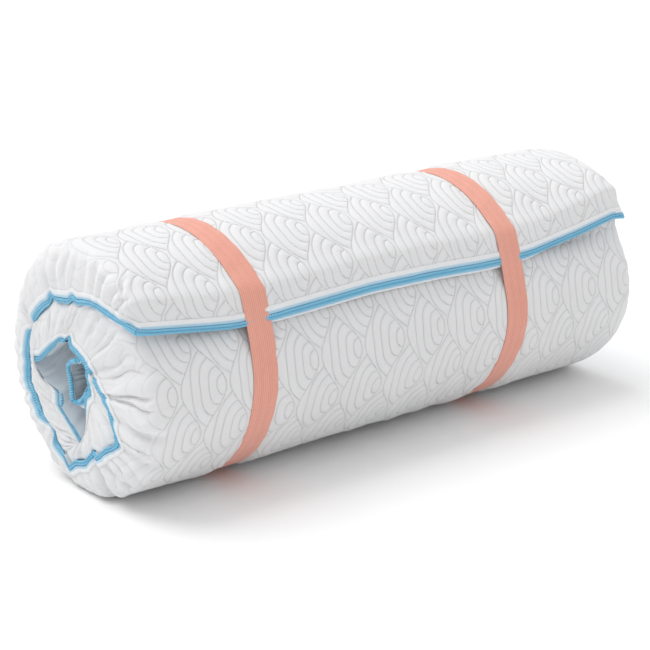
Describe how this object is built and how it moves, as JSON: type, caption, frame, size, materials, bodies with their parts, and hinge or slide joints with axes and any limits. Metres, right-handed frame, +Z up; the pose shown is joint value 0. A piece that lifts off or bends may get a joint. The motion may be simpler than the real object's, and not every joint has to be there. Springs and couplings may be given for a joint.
{
  "type": "memory foam mattress",
  "caption": "Memory foam mattress rolled into a cylinder, in a wave-quilted white cover with a blue zip round its edge, held by two webbing straps.",
  "frame": {"origin": "on the surface the roll lies on, below the middle of the roll", "axes": "+X along the roll's axis from its left end to its right end, -Y to the front where the outer end lies as a flap, +Z up"},
  "size_m": [0.9, 0.351, 0.3491],
  "materials": {
    "cover_knit": "white quilted knit with a fine jersey surface",
    "wadding": "lofted polyester wadding",
    "memory_foam": "open-cell viscoelastic foam",
    "support_foam": "open-cell support foam",
    "bottom_knit": "plain thin knit, pale blue grey",
    "zip_tape": "woven tape, white with a pale blue edge",
    "zip_coil": "moulded nylon coil, blue",
    "zip_metal": "nickel-plated zinc",
    "webbing": "coral ribbed webbing"
  },
  "bodies": {
    "rolled_mattress": {"top_cover_fabric": "cover_knit", "quilt_wadding": "wadding", "memory_foam_layer": "memory_foam", "support_foam_layer": "support_foam", "bottom_panel": "bottom_knit", "left_border": "cover_knit", "left_zip_upper_tape": "zip_tape", "left_zip_coil": "zip_coil", "left_zip_lower_tape": "zip_tape", "right_border": "cover_knit", "right_zip_upper_tape": "zip_tape", "right_zip_coil": "zip_coil", "right_zip_lower_tape": "zip_tape", "outer_end_border": "cover_knit", "outer_end_zip_upper_tape": "zip_tape", "outer_end_zip_coil": "zip_coil", "outer_end_zip_lower_tape": "zip_tape", "inner_end_border": "cover_knit", "inner_end_zip_upper_tape": "zip_tape", "inner_end_zip_coil": "zip_coil", "inner_end_zip_lower_tape": "zip_tape"},
    "left_strap": {"left_strap": "webbing"},
    "right_strap": {"right_strap": "webbing"},
    "zip_slider": {"zip_slider": "zip_metal"},
    "zip_pull_tab": {"zip_pull_tab": "zip_metal"}
  },
  "joints": [
    {"name": "left_strap_slide", "type": "slide", "parent": "rolled_mattress", "child": "left_strap", "axis": [-1, 0, 0], "range_m": [0, 0.22]},
    {"name": "right_strap_slide", "type": "slide", "parent": "rolled_mattress", "child": "right_strap", "axis": [1, 0, 0], "range_m": [0, 0.286]},
    {"name": "zip_slider_slide", "type": "slide", "parent": "rolled_mattress", "child": "zip_slider", "axis": [-1, 0, 0], "range_m": [0, 0.85]},
    {"name": "pull_tab_hinge", "type": "hinge", "parent": "zip_slider", "child": "zip_pull_tab", "pos_m": [0.443, -0.02399, 0.17506], "axis": [0, 0.9989, 0.046], "range_deg": [0, 170]}
  ]
}
